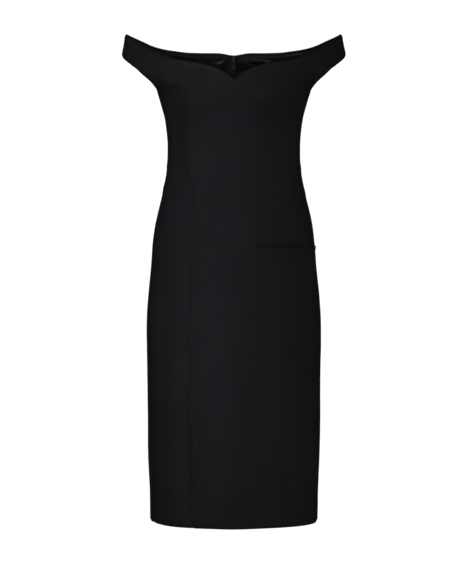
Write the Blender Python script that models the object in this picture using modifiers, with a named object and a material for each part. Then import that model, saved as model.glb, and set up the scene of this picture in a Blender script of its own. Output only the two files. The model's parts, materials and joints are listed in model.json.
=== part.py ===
# An off-the-shoulder midi dress, filled out and hollow, in the pieces it is sewn from.
# Metres, +Z up, front at -Y, +X on the wearer's left. The origin lies on the torso's
# axis, level with the armpits.
import math
from bisect import bisect_right
from collections import namedtuple

import bmesh
import bpy
from mathutils import Matrix, Vector

for leftover in list(bpy.data.objects):
    bpy.data.objects.remove(leftover, do_unlink=True)

# Cloth and gaps
CLOTH = 0.0020  # outer cloth with its interlining
LINING = 0.0010
TAPE = 0.0010
JET = 0.0010
SEAM_GAP = 0.0003
LAYER_GAP = 0.0005  # between a layer and the one it lies on

# Heights
HEM = -0.896
YOKE = -0.020  # the panels' rows are level up to here
UNDERARM = 0.010
ARM_TOP = 0.080  # lower edge of the sleeve on the outside of the arm
FRONT_JOIN = 0.032  # where the front princess seam meets the sleeve
BACK_JOIN = 0.040
SEAM_FOOT = 0.015  # where the sleeve's seams start, on the arm hole's edge
SLEEVE_FRONT = 0.084  # where the sleeve's front seam reaches the neckline
SLEEVE_BACK = 0.098
BACK_NOTCH = 0.085
FACING = 0.009  # width of the back neck facing
LINING_FOOT = -0.115

# Pocket on the wearer's left hip
POCKET = -0.3102
POCKET_START = 0.0445
JET_WIDTH = 0.0048
POCKET_DROP = 0.007  # the slit is this much lower at the side seam
POCKET_RISE = 0.0036  # and this much higher at the princess seam

# Zip
ZIP_TOP = 0.082
ZIP_FOOT = -0.420
TAPE_WIDTH = 0.012
COIL_WIDTH = 0.0044
COIL_THICK = 0.0015
PULL_PIVOT = 0.0765  # height of the pull's crossbar
SLIDER_LENGTH = 0.0105
SLIDER_TOP_WIDTH = 0.0072
SLIDER_FOOT_WIDTH = 0.0056
SLIDER_THICK = 0.0028
BAIL_REACH = 0.0032  # how far the bail stands off the slider
BAIL_HALF = 0.0035
BAIL_RADIUS = 0.00045
PIVOT_OFF = 0.0014  # the crossbar's centre, off the slider's face
PULL_LENGTH = 0.0195
PULL_THICK = 0.0012
PULL_EYE_WIDTH = 0.0046
PULL_NECK_WIDTH = 0.0032
PULL_TAB_WIDTH = 0.0070
WINDOW_WIDTH = 0.0022
WINDOW_END = 0.0045
CROSSBAR = 0.0006  # half its height
BAND = 0.0010  # below the window

# Panel grids
FRONT_COLUMNS = 16
SIDE_COLUMNS = 6
BACK_COLUMNS = 6
SLEEVE_HALF_COLUMNS = 8
YOKE_ROWS = 3  # from the level rows up to a join
NECK_ROWS = 4  # from a join up to the neckline
JOIN_COLUMNS = 4  # of a side panel's top edge, along the sleeve
POCKET_MARGIN = 0.036  # height of the row below the pocket
SHORT_ROW = 0.004  # the zip's strips have no row that is shorter
NARROW_TURN = 0.02  # nor have the jets a column that is narrower

Span = namedtuple("Span", "low high rows")
SPANS = (
    Span(HEM, POCKET - POCKET_MARGIN, 9),
    Span(POCKET - POCKET_MARGIN, POCKET - JET_WIDTH, 1),
    Span(POCKET - JET_WIDTH, POCKET + JET_WIDTH, 2),
    Span(POCKET + JET_WIDTH, YOKE, 12),
)

# Level sections of the form, from the hem up. Above the armpit they are the flare
# that the sleeves are cut from.
Section = namedtuple("Section", "height half_width front back")
SECTIONS = (
    Section(HEM, 0.1772, 0.115, 0.110),
    Section(-0.808, 0.1786, 0.114, 0.112),
    Section(-0.741, 0.1811, 0.114, 0.113),
    Section(-0.590, 0.1826, 0.113, 0.117),
    Section(-0.472, 0.1838, 0.112, 0.1215),
    Section(-0.422, 0.1803, 0.110, 0.1236),
    Section(-0.372, 0.1754, 0.108, 0.1244),
    Section(-0.321, 0.1718, 0.106, 0.1228),
    Section(-0.288, 0.1680, 0.105, 0.1195),
    Section(-0.254, 0.1623, 0.104, 0.1142),
    Section(-0.220, 0.1540, 0.102, 0.1066),
    Section(-0.187, 0.1468, 0.100, 0.0982),
    Section(-0.153, 0.1414, 0.099, 0.0905),
    Section(-0.115, 0.1388, 0.098, 0.0850),
    Section(-0.069, 0.1412, 0.102, 0.0850),
    Section(-0.023, 0.1502, 0.114, 0.090),
    Section(0.000, 0.1567, 0.118, 0.092),
    Section(UNDERARM, 0.1608, 0.118, 0.093),
    Section(0.020, 0.1800, 0.117, 0.094),
    Section(0.045, 0.2180, 0.112, 0.094),
    Section(0.060, 0.2320, 0.109, 0.094),
    Section(ARM_TOP, 0.2350, 0.105, 0.093),
    Section(0.109, 0.2296, 0.102, 0.093),
    Section(0.131, 0.2274, 0.100, 0.093),
)

# Neckline, seen from the front: its height at a distance from the middle
Neck = namedtuple("Neck", "across height")
FRONT_NECK = (
    Neck(0.000, 0.0380),
    Neck(0.012, 0.0478),
    Neck(0.024, 0.0562),
    Neck(0.038, 0.0630),
    Neck(0.067, 0.0710),
    Neck(0.103, 0.0768),
    Neck(0.138, SLEEVE_FRONT),
    Neck(0.172, 0.099),
    Neck(0.191, 0.109),
    Neck(0.2274, 0.131),
)
BACK_NECK = (
    Neck(0.000, BACK_NOTCH),
    Neck(0.009, 0.0884),
    Neck(0.042, 0.0907),
    Neck(0.092, 0.0918),
    Neck(0.117, 0.0945),
    Neck(0.142, SLEEVE_BACK),
    Neck(0.168, 0.1048),
    Neck(0.193, 0.1152),
    Neck(0.2274, 0.131),
)

# Seams and the arm hole's edge, seen from the front: distance from the middle
Line = namedtuple("Line", "height across")
FRONT_SEAM_RIGHT = (
    Line(HEM, 0.0850),
    Line(-0.714, 0.0880),
    Line(-0.580, 0.0920),
    Line(-0.454, 0.0920),
    Line(-0.328, 0.0880),
    Line(-0.195, 0.0880),
    Line(-0.160, 0.0960),
    Line(-0.076, 0.1090),
    Line(-0.020, 0.1200),
    Line(FRONT_JOIN, 0.1540),
)
FRONT_SEAM_LEFT = (
    Line(HEM, 0.1040),
    Line(-0.520, 0.1040),
    Line(-0.453, 0.1010),
    Line(-0.328, 0.0930),
    Line(-0.195, 0.0880),
    Line(-0.160, 0.0960),
    Line(-0.076, 0.1090),
    Line(-0.020, 0.1200),
    Line(FRONT_JOIN, 0.1540),
)
BACK_SEAM = (
    Line(HEM, 0.0880),
    Line(-0.454, 0.0940),
    Line(-0.321, 0.0930),
    Line(-0.200, 0.0860),
    Line(-0.110, 0.0830),
    Line(-0.060, 0.0960),
    Line(-0.020, 0.1150),
    Line(BACK_JOIN, 0.1510),
)
SLEEVE_FRONT_SEAM = (
    Line(SEAM_FOOT, 0.1635),
    Line(0.025, 0.1570),
    Line(FRONT_JOIN, 0.1540),
    Line(0.040, 0.1500),
    Line(0.060, 0.1430),
    Line(SLEEVE_FRONT, 0.1380),
)
SLEEVE_BACK_SEAM = (
    Line(SEAM_FOOT, 0.1635),
    Line(0.025, 0.1570),
    Line(BACK_JOIN, 0.1510),
    Line(0.070, 0.1450),
    Line(SLEEVE_BACK, 0.1420),
)
ARM_HOLE = (
    Line(UNDERARM, 0.1608),
    Line(SEAM_FOOT, 0.1635),
    Line(0.025, 0.1708),
    Line(0.037, 0.1826),
    Line(0.051, 0.1996),
    Line(0.066, 0.2168),
    Line(0.073, 0.2252),
    Line(ARM_TOP, 0.2350),
)

# Bust cups that the princess seams shape
Cup = namedtuple("Cup", "across height half_width half_height depth")
CUPS = (
    Cup(-0.080, 0.005, 0.045, 0.055, 0.014),
    Cup(0.080, 0.005, 0.045, 0.055, 0.014),
)

# Largest soft folds: from one end to the other, seen from the front. A ridge has a
# positive depth, a trough a negative one. face is -1 on the front and 1 on the back.
Fold = namedtuple("Fold", "face x1 z1 x2 z2 width depth")
FOLDS = (
    Fold(-1, -0.012, -0.060, -0.016, -0.215, 0.017, 0.0030),
    Fold(-1, 0.021, -0.235, 0.024, -0.410, 0.012, -0.0028),
    Fold(-1, 0.043, -0.300, 0.046, -0.400, 0.014, 0.0024),
    Fold(-1, -0.140, -0.120, -0.085, -0.140, 0.010, 0.0020),
    Fold(-1, 0.135, -0.128, 0.092, -0.146, 0.010, -0.0018),
    Fold(1, -0.095, -0.118, -0.020, -0.128, 0.012, -0.0028),
    Fold(1, 0.100, -0.112, 0.018, -0.132, 0.012, -0.0024),
    Fold(1, 0.030, -0.520, 0.040, -0.850, 0.022, 0.0030),
    Fold(1, -0.052, -0.440, -0.060, -0.760, 0.020, -0.0026),
)

BLACK_CLOTH = (0.0115, 0.0105, 0.0120)
BLACK_SATIN = (0.0085, 0.0085, 0.0095)
BLACK_TAPE = (0.0100, 0.0100, 0.0110)
DARK_METAL = (0.0350, 0.0350, 0.0370)
QUARTER = math.pi / 2

dress = bpy.data.collections.new("midi_dress")
bpy.context.scene.collection.children.link(dress)


def curve(rows, along, column):
    """One column of a table as a smooth function of another, with no overshoot."""
    at = [getattr(row, along) for row in rows]
    value = [getattr(row, column) for row in rows]
    steps = [b - a for a, b in zip(at, at[1:])]
    rises = [(b - a) / step for a, b, step in zip(value, value[1:], steps)]
    slopes = [rises[0]]
    for before, after in zip(rises, rises[1:]):
        same_way = before * after > 0
        slopes.append(2 * before * after / (before + after) if same_way else 0.0)
    slopes.append(rises[-1])

    def read(where):
        where = min(max(where, at[0]), at[-1])
        i = min(bisect_right(at, where), len(steps)) - 1
        t = (where - at[i]) / steps[i]
        start = value[i] + t * steps[i] * slopes[i]
        end = value[i + 1] - (1 - t) * steps[i] * slopes[i + 1]
        blend = smooth_step(t)
        return start * (1 - blend) + end * blend

    return read


half_width = curve(SECTIONS, "height", "half_width")
front_depth = curve(SECTIONS, "height", "front")
back_depth = curve(SECTIONS, "height", "back")
front_neck = curve(FRONT_NECK, "across", "height")
back_neck = curve(BACK_NECK, "across", "height")
arm_hole = curve(ARM_HOLE, "height", "across")


def fold_height(fold, x, z):
    """How far one fold lifts the cloth at a point of the front view."""
    run = Vector((fold.x2 - fold.x1, fold.z2 - fold.z1))
    offset = Vector((x - fold.x1, z - fold.z1))
    t = offset.dot(run) / run.length_squared
    if not 0 < t < 1:
        return 0.0
    aside = (offset - run * t).length / fold.width
    return fold.depth * math.sin(math.pi * t) ** 2 * math.exp(-aside * aside)


def skin(turn, height):
    """A point of the outer face. turn is 0 at centre front and a quarter at the left."""
    half = half_width(height)
    face = -1 if abs(turn) <= QUARTER else 1
    depth = front_depth(height) if face < 0 else back_depth(height)
    x = half * math.sin(turn)
    out = Vector((math.sin(turn), -math.cos(turn), 0))
    lift = sum(fold_height(f, x, height) for f in FOLDS if f.face == face)
    if face < 0:
        for cup in CUPS:
            aside = (x - cup.across) / cup.half_width
            above = (height - cup.height) / cup.half_height
            lift += cup.depth * math.exp(-aside * aside - above * above)
    return Vector((x, -depth * math.cos(turn), height)) + out * lift


def normal(turn, height):
    """The direction out of the cloth at a point of the outer face."""
    step, rise = 0.002, 0.0005
    around = skin(turn + step, height) - skin(turn - step, height)
    up = skin(turn, height + rise) - skin(turn, height - rise)
    return around.cross(up).normalized()


def at_across(across, height, back=False):
    """The place on the cloth at a distance from the middle, as (turn, height)."""
    turn = math.asin(max(-1.0, min(1.0, across / half_width(height))))
    if back:
        turn = math.copysign(math.pi, across) - turn
    return turn, height


def neckline(turn):
    """The neckline's place at a turn, as (turn, height)."""
    read = front_neck if abs(turn) <= QUARTER else back_neck
    height = SLEEVE_FRONT
    for _ in range(30):
        height = read(abs(half_width(height) * math.sin(turn)))
    return turn, height


def mix(a, b, t):
    return tuple(p + (q - p) * t for p, q in zip(a, b))


def smooth_step(t):
    return t * t * (3 - 2 * t)


def spaced(a, b, count):
    """count steps from a to b, with a and without b."""
    return [a + (b - a) * i / count for i in range(count)]


LEVEL = [z for span in SPANS for z in spaced(span.low, span.high, span.rows)] + [YOKE]


def nearest_row(height):
    return min(range(len(LEVEL)), key=lambda i: abs(LEVEL[i] - height))


def heights(join, drop=0.0):
    """Rows from the hem up to where a seam ends; drop lowers those of the pocket."""
    level = list(LEVEL)
    for row in range(nearest_row(POCKET) - 1, nearest_row(POCKET) + 2):
        level[row] -= drop
    return level[:-1] + spaced(YOKE, join, YOKE_ROWS) + [join]


def neck_heights(join, top):
    """Rows above a join, up to the neckline; the last is as high as a facing."""
    last = top - FACING
    return spaced(join, last, NECK_ROWS - 1)[1:] + [last, top]


def main_rows():
    """How far a neckline's shape reaches down a long panel, row by row."""
    level = len(LEVEL) - 1
    climb = YOKE_ROWS + NECK_ROWS - 1
    rising = [smooth_step(i / climb) for i in range(1, climb + 1)]
    return [0.0] * (level + 1) + rising + [1.0]


def side_rows():
    rising = [smooth_step(i / YOKE_ROWS) for i in range(1, YOKE_ROWS + 1)]
    return [0.0] * len(LEVEL) + rising


def patch(left, right, foot, head, reach):
    """A grid of (turn, height) between four edges. reach says how much of the head's
    shape each row takes, and the rest comes from the foot's."""
    columns = len(foot) - 1
    grid = []
    for start, end, w in zip(left, right, reach):
        first, last = mix(foot[0], head[0], w), mix(foot[-1], head[-1], w)
        row = []
        for i in range(columns + 1):
            s = i / columns
            across = mix(foot[i], head[i], w)
            row.append(
                tuple(
                    middle + (1 - s) * (a - a0) + s * (b - b0)
                    for middle, a, a0, b, b0 in zip(across, start, first, end, last)
                )
            )
        grid.append(row)
    return grid


def straight(a, b, columns):
    return [mix(a, b, i / columns) for i in range(columns + 1)]


def along_neck(a, b, columns):
    return [neckline(a[0] + (b[0] - a[0]) * i / columns) for i in range(columns + 1)]


def seam(rows, levels, side, back=False):
    read = curve(rows, "height", "across")
    return [at_across(side * read(z), z, back) for z in levels]


def front_seam(side):
    """A front princess seam from the hem to the sleeve. side is 1 on the left."""
    rows = FRONT_SEAM_LEFT if side > 0 else FRONT_SEAM_RIGHT
    drop = -POCKET_RISE if side > 0 else 0.0
    return seam(rows, heights(FRONT_JOIN, drop), side)


def back_seam(side):
    return seam(BACK_SEAM, heights(BACK_JOIN), side, back=True)


def side_seam(side):
    drop = POCKET_DROP if side > 0 else 0.0
    return [(side * QUARTER, z) for z in heights(UNDERARM, drop)]


def sleeve_seam(side, back=False):
    """From the arm hole up to the neckline."""
    rows = SLEEVE_BACK_SEAM if back else SLEEVE_FRONT_SEAM
    join, top = (BACK_JOIN, SLEEVE_BACK) if back else (FRONT_JOIN, SLEEVE_FRONT)
    climb = [(i / JOIN_COLUMNS) ** 1.4 for i in range(JOIN_COLUMNS + 1)]
    foot = [SEAM_FOOT + (join - SEAM_FOOT) * t for t in climb]
    return seam(rows, foot + neck_heights(join, top), side, back)


def arm_edge(side, first, last, columns, back=False):
    """Part of the arm hole's edge. Its turn is 0 at the armpit and pi at the outer arm."""
    middle, half = (ARM_TOP + UNDERARM) / 2, (ARM_TOP - UNDERARM) / 2
    points = []
    for i in range(columns + 1):
        round_hole = first + (last - first) * i / columns
        z = middle - half * math.cos(round_hole)
        points.append(at_across(side * arm_hole(z), z, back))
    return points


SEAM_ON_HOLE = math.acos(1 - 2 * (SEAM_FOOT - UNDERARM) / (ARM_TOP - UNDERARM))


def front_grid():
    right, left = front_seam(-1), front_seam(1)
    right += sleeve_seam(-1)[JOIN_COLUMNS + 1 :]
    left += sleeve_seam(1)[JOIN_COLUMNS + 1 :]
    hem = straight(right[0], left[0], FRONT_COLUMNS)
    neck = along_neck(right[-1], left[-1], FRONT_COLUMNS)
    return patch(right, left, hem, neck, main_rows())


def side_grid(side, back=False):
    """A side panel, from its princess seam to the side seam."""
    inner = back_seam(side) if back else front_seam(side)
    outer = side_seam(side)
    hem = straight(inner[0], outer[0], SIDE_COLUMNS)
    join = sleeve_seam(side, back)[JOIN_COLUMNS:0:-1]
    free = SIDE_COLUMNS - JOIN_COLUMNS
    head = join + arm_edge(side, SEAM_ON_HOLE, 0, free, back)
    return patch(inner, outer, hem, head, side_rows())


def back_grid(side, start=0.0):
    """A centre back panel or a layer of it, from start to the princess seam."""
    levels = heights(BACK_JOIN) + neck_heights(BACK_JOIN, BACK_NOTCH)
    middle = [at_across(side * start, z, back=True) for z in levels]
    middle[-1] = neckline(middle[-1][0])
    middle[-2] = (middle[-2][0], middle[-1][1] - FACING)
    outer = back_seam(side) + sleeve_seam(side, back=True)[JOIN_COLUMNS + 1 :]
    hem = straight(middle[0], outer[0], BACK_COLUMNS)
    neck = along_neck(middle[-1], outer[-1], BACK_COLUMNS)
    return patch(middle, outer, hem, neck, main_rows())


def sleeve_grid(side):
    front, back = sleeve_seam(side), sleeve_seam(side, back=True)
    half = SLEEVE_HALF_COLUMNS
    lower = arm_edge(side, SEAM_ON_HOLE, math.pi, half)
    lower += arm_edge(side, math.pi, SEAM_ON_HOLE, half, back=True)[1:]
    shoulder = (side * QUARTER, 0)
    neck = along_neck(front[-1], shoulder, half)
    neck += along_neck(shoulder, back[-1], half)[1:]
    rows = len(front) - 1
    return patch(front, back, lower, neck, [i / rows for i in range(rows + 1)])


def material(name, colour, roughness, metallic=0.0):
    look = bpy.data.materials.new(name)
    look.use_nodes = True
    shader = look.node_tree.nodes["Principled BSDF"]
    shader.inputs["Base Color"].default_value = (*colour, 1)
    shader.inputs["Roughness"].default_value = roughness
    shader.inputs["Metallic"].default_value = metallic
    return look


def add(name, data, look):
    """A new object in the dress's collection, with its own material."""
    piece = bpy.data.objects.new(name, data)
    data.materials.append(look)
    dress.objects.link(piece)
    return piece


def edge_shifts(points, edge, inward, along, distance):
    """The moves that draw one edge of a grid in, along the cloth and square to the edge."""
    last = len(edge) - 1
    shifts = []
    for i, (row, column) in enumerate(edge):
        here = points[row][column]
        before, after = edge[max(i - 1, 0)], edge[min(i + 1, last)]
        tangent = (points[after[0]][after[1]] - points[before[0]][before[1]]).normalized()
        next_in = points[row + inward][column + along] - here
        square = next_in - tangent * next_in.dot(tangent)
        shifts.append(square.normalized() * distance)
    return shifts


def draw_in(points, gap):
    """Move the points of a panel's edges in, so that sewn neighbours stay a gap apart."""
    rows, columns = len(points) - 1, len(points[0]) - 1
    edges = (
        ([(r, 0) for r in range(rows + 1)], 0, 1),
        ([(r, columns) for r in range(rows + 1)], 0, -1),
        ([(0, c) for c in range(columns + 1)], 1, 0),
        ([(rows, c) for c in range(columns + 1)], -1, 0),
    )
    moves = []
    for edge, inward, along in edges:
        moves += zip(edge, edge_shifts(points, edge, inward, along, gap / 2))
    for (row, column), shift in moves:
        points[row][column] = points[row][column] + shift


def wall(name, grid, look, thickness=CLOTH, depth=0.0):
    """A panel of cloth, from depth inside the outer face to a thickness further in."""
    outer = [[skin(*place) for place in row] for row in grid]
    normals = [[normal(*place) for place in row] for row in grid]
    draw_in(outer, SEAM_GAP)
    mesh = bpy.data.meshes.new(name)
    bm = bmesh.new()
    faces = []
    for inset in (depth, depth + thickness):
        faces.append(
            [
                [bm.verts.new(p - n * inset) for p, n in zip(line, directions)]
                for line, directions in zip(outer, normals)
            ]
        )
    rows, columns = len(grid) - 1, len(grid[0]) - 1
    for layer in faces:
        for r in range(rows):
            for c in range(columns):
                bm.faces.new((layer[r][c], layer[r][c + 1], layer[r + 1][c + 1], layer[r + 1][c]))
    rim = [(0, c) for c in range(columns)] + [(r, columns) for r in range(rows)]
    rim += [(rows, c) for c in range(columns, 0, -1)] + [(r, 0) for r in range(rows, 0, -1)]
    for (r1, c1), (r2, c2) in zip(rim, rim[1:] + rim[:1]):
        bm.faces.new((faces[0][r1][c1], faces[0][r2][c2], faces[1][r2][c2], faces[1][r1][c1]))
    bmesh.ops.recalc_face_normals(bm, faces=bm.faces)
    bm.to_mesh(mesh)
    bm.free()
    mesh.shade_smooth()
    mesh.set_sharp_from_angle(angle=math.radians(50))
    return add(name, mesh, look)


def sides():
    return ((1, "left"), (-1, "right"))


def make_panels():
    wall("front_centre", front_grid(), material("front_centre", BLACK_CLOTH, 0.62))
    for side, hand in sides():
        panels = (
            (f"side_front_{hand}", side_grid(side)),
            (f"side_back_{hand}", side_grid(side, back=True)),
            (f"back_centre_{hand}", back_grid(side)),
            (f"sleeve_{hand}", sleeve_grid(side)),
        )
        for name, grid in panels:
            wall(name, grid, material(name, BLACK_CLOTH, 0.62))


def make_back_layers():
    """Facing and lining, beside the zip's tapes and inside the back."""
    lowest = nearest_row(LINING_FOOT)
    for side, hand in sides():
        grid = back_grid(side, start=TAPE_WIDTH + SEAM_GAP)
        facing, lining = f"facing_back_{hand}", f"lining_back_{hand}"
        depth = CLOTH + LAYER_GAP
        wall(facing, grid[-2:], material(facing, BLACK_CLOTH, 0.6), LINING, depth)
        below = grid[lowest:-1]
        wall(lining, below, material(lining, BLACK_SATIN, 0.34), LINING, depth)


def make_pocket():
    """Two jets laid on the left hip, from the front over the princess seam to the side."""
    front = front_grid()
    side = side_grid(1)
    slit = nearest_row(POCKET)
    for name, low in (("pocket_jet_lower", slit - 1), ("pocket_jet_upper", slit)):
        strip = []
        for row in (low, low + 1):
            start = at_across(POCKET_START, front[row][0][1])
            beyond = [place for place in front[row] if place[0] > start[0] + NARROW_TURN]
            strip.append([start] + beyond + side[row][1:])
        wall(name, strip, material(name, BLACK_CLOTH, 0.6), JET, -(LAYER_GAP + JET))


def zip_strip(name, first, last, look, thickness, depth, top):
    """A strip down the centre back, between two distances from the middle."""
    rows = heights(BACK_JOIN) + neck_heights(BACK_JOIN, BACK_NOTCH)
    between = [z for z in rows if ZIP_FOOT + SHORT_ROW < z < top - SHORT_ROW]
    grid = []
    for z in [ZIP_FOOT] + between + [top]:
        grid.append([(math.pi - math.asin(x / half_width(z)), z) for x in (first, last)])
    wall(name, grid, look, thickness, depth)


def make_zip_tapes():
    depth = CLOTH + LAYER_GAP
    for side, hand in sides():
        name = f"zip_tape_{hand}"
        tape = material(name, BLACK_TAPE, 0.7)
        zip_strip(name, 0.0, side * TAPE_WIDTH, tape, TAPE, depth, ZIP_TOP)
    coil = material("zip_coil", BLACK_TAPE, 0.4)
    depth += TAPE + LAYER_GAP
    top = PULL_PIVOT - SLIDER_LENGTH / 2 - SEAM_GAP
    half = COIL_WIDTH / 2
    zip_strip("zip_coil", -half, half, coil, COIL_THICK, depth, top)


def slider_back():
    """The y of the slider's flat back, just inside the tapes."""
    layers = CLOTH + LAYER_GAP + TAPE + LAYER_GAP
    return back_depth(PULL_PIVOT) - layers


def make_slider():
    middle = slider_back() - SLIDER_THICK / 2
    bm = bmesh.new()
    bmesh.ops.create_cube(bm, size=1)
    for vert in bm.verts:
        width = SLIDER_TOP_WIDTH if vert.co.z > 0 else SLIDER_FOOT_WIDTH
        vert.co = Vector((vert.co.x * width, vert.co.y * SLIDER_THICK, vert.co.z * SLIDER_LENGTH))
    mesh = bpy.data.meshes.new("zip_slider")
    bm.to_mesh(mesh)
    bm.free()
    slider = add("zip_slider", mesh, material("zip_slider", DARK_METAL, 0.3, 1.0))
    slider.location = (0, middle, PULL_PIVOT)
    edges = slider.modifiers.new("rounded_edges", "BEVEL")
    edges.width = 0.0006
    edges.segments = 2


def make_bail():
    """The arch over the pull's crossbar, from one end of the slider's face to the other."""
    face = slider_back() - SLIDER_THICK
    reach, ends, count = BAIL_REACH, math.acos(SEAM_GAP / BAIL_REACH), 12
    arch = bpy.data.curves.new("zip_bail", "CURVE")
    arch.dimensions = "3D"
    arch.bevel_depth = BAIL_RADIUS
    arch.bevel_resolution = 2
    arch.use_fill_caps = True
    spline = arch.splines.new("POLY")
    spline.points.add(count)
    for i, point in enumerate(spline.points):
        angle = -ends + 2 * ends * i / count
        y, z = face - reach * math.cos(angle), PULL_PIVOT + BAIL_HALF * math.sin(angle)
        point.co = (0, y, z, 1)
    add("zip_bail", arch, material("zip_bail", DARK_METAL, 0.3, 1.0))


def outline(data, points):
    spline = data.splines.new("POLY")
    spline.points.add(len(points) - 1)
    for point, (x, y) in zip(spline.points, points):
        point.co = (x, y, 0, 1)
    spline.use_cyclic_u = True


def make_pull():
    """A flat tab that hangs from its crossbar: an eye, a slim neck and a rounded end."""
    eye, neck, tab = PULL_EYE_WIDTH / 2, PULL_NECK_WIDTH / 2, PULL_TAB_WIDTH / 2
    top, window, foot = CROSSBAR, WINDOW_END, PULL_LENGTH
    right = [(eye, top), (eye, -window - BAND), (neck, -window - BAND - 0.0018)]
    right += [(neck, -foot + 2.7 * tab), (tab, -foot + 1.7 * tab)]
    middle = -foot + tab
    arc = [math.radians(a) for a in range(0, 181, 20)]
    right += [(tab * math.cos(a), middle - tab * math.sin(a)) for a in arc]
    left = [(-x, y) for x, y in right[4::-1]]
    flat = bpy.data.curves.new("zip_pull", "CURVE")
    flat.dimensions = "2D"
    flat.fill_mode = "BOTH"
    flat.extrude = PULL_THICK / 2
    outline(flat, right + left)
    half = WINDOW_WIDTH / 2
    outline(flat, [(half, -top), (-half, -top), (-half, -window), (half, -window)])
    pull = add("zip_pull", flat, material("zip_pull", DARK_METAL, 0.25, 1.0))
    face = slider_back() - SLIDER_THICK
    standing = Matrix.Rotation(QUARTER, 4, "X")
    pull.matrix_world = Matrix.Translation((0, face - PIVOT_OFF, PULL_PIVOT)) @ standing


make_panels()
make_back_layers()
make_pocket()
make_zip_tapes()
make_slider()
make_bail()
make_pull()
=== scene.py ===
import json
import math
from collections import namedtuple

import bmesh
import bpy
from mathutils import Matrix, Vector, noise
from mathutils.bvhtree import BVHTree
from mathutils.kdtree import KDTree

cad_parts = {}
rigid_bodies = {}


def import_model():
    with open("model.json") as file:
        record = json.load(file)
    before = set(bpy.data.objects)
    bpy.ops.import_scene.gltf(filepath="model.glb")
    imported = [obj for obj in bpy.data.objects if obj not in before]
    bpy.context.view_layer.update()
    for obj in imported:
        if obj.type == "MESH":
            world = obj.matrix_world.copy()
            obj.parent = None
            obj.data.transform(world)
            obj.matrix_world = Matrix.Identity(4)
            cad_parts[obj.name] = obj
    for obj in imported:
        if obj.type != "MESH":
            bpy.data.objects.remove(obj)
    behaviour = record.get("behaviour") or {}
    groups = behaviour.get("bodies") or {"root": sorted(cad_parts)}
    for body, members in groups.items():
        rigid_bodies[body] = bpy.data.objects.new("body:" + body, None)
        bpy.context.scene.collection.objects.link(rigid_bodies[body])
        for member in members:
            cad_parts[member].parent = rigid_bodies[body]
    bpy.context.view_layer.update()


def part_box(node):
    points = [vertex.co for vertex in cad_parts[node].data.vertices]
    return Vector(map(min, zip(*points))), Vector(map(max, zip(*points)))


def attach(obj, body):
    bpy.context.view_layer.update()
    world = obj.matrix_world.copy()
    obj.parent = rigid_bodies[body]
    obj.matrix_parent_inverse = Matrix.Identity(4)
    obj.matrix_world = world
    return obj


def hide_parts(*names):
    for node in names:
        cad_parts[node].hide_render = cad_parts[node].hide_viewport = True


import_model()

# Camera, at the photograph's angle
cameraSettings = {"place": (0.0015, -6.9, 0.10), "tiltDown": 4.05, "lens": 210.26, "sensor": 36.0}


def setCamera():
    data = bpy.data.cameras.new("photoCamera")
    data.lens = cameraSettings["lens"]
    data.sensor_width = cameraSettings["sensor"]
    data.clip_end = 60
    camera = bpy.data.objects.new("photoCamera", data)
    camera.location = cameraSettings["place"]
    camera.rotation_euler = (math.radians(90 - cameraSettings["tiltDown"]), 0, 0)
    bpy.context.scene.collection.objects.link(camera)
    bpy.context.scene.camera = camera


setCamera()
print("camera set")


# Shader helpers
def newGroup(name, inputs, outputs):
    group = bpy.data.node_groups.new(name, "ShaderNodeTree")
    for label, kind, value in inputs:
        socket = group.interface.new_socket(label, in_out="INPUT", socket_type=kind)
        if value is not None:
            socket.default_value = value
    for label, kind in outputs:
        group.interface.new_socket(label, in_out="OUTPUT", socket_type=kind)
    return group, group.nodes.new("NodeGroupInput"), group.nodes.new("NodeGroupOutput")


def mathNode(tree, operation, a, b=None, clamp=False):
    node = tree.nodes.new("ShaderNodeMath")
    node.operation = operation
    node.use_clamp = clamp
    for socket, value in zip(node.inputs, (a, b)):
        if isinstance(value, bpy.types.NodeSocket):
            tree.links.new(value, socket)
        elif value is not None:
            socket.default_value = value
    return node.outputs[0]


def noiseNode(tree, vector, scale, detail=2.0, roughness=0.5):
    node = tree.nodes.new("ShaderNodeTexNoise")
    node.inputs["Scale"].default_value = scale
    node.inputs["Detail"].default_value = detail
    node.inputs["Roughness"].default_value = roughness
    tree.links.new(vector, node.inputs["Vector"])
    return node.outputs["Fac"]


def scaledVector(tree, vector, scale):
    node = tree.nodes.new("ShaderNodeMapping")
    node.inputs["Scale"].default_value = scale
    tree.links.new(vector, node.inputs["Vector"])
    return node.outputs["Vector"]


def waveNode(tree, vector, direction, scale, distortion=0.0):
    node = tree.nodes.new("ShaderNodeTexWave")
    node.wave_type = "BANDS"
    node.bands_direction = direction
    node.inputs["Scale"].default_value = scale
    node.inputs["Distortion"].default_value = distortion
    node.inputs["Detail"].default_value = 0.0
    tree.links.new(vector, node.inputs["Vector"])
    return node.outputs["Fac"]


# Threads both ways, with slubs along the weft; heights and tones from 0 to 1
weaveSettings = {
    "warp": 380.0, "weft": 330.0, "sway": 0.6, "slubs": (60, 900, 1), "fibres": 2600.0, "patches": 7.0,
    "threadHeight": 0.6, "fibreHeight": 0.25, "patchTone": 0.5, "threadTone": 0.3,
}


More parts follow.
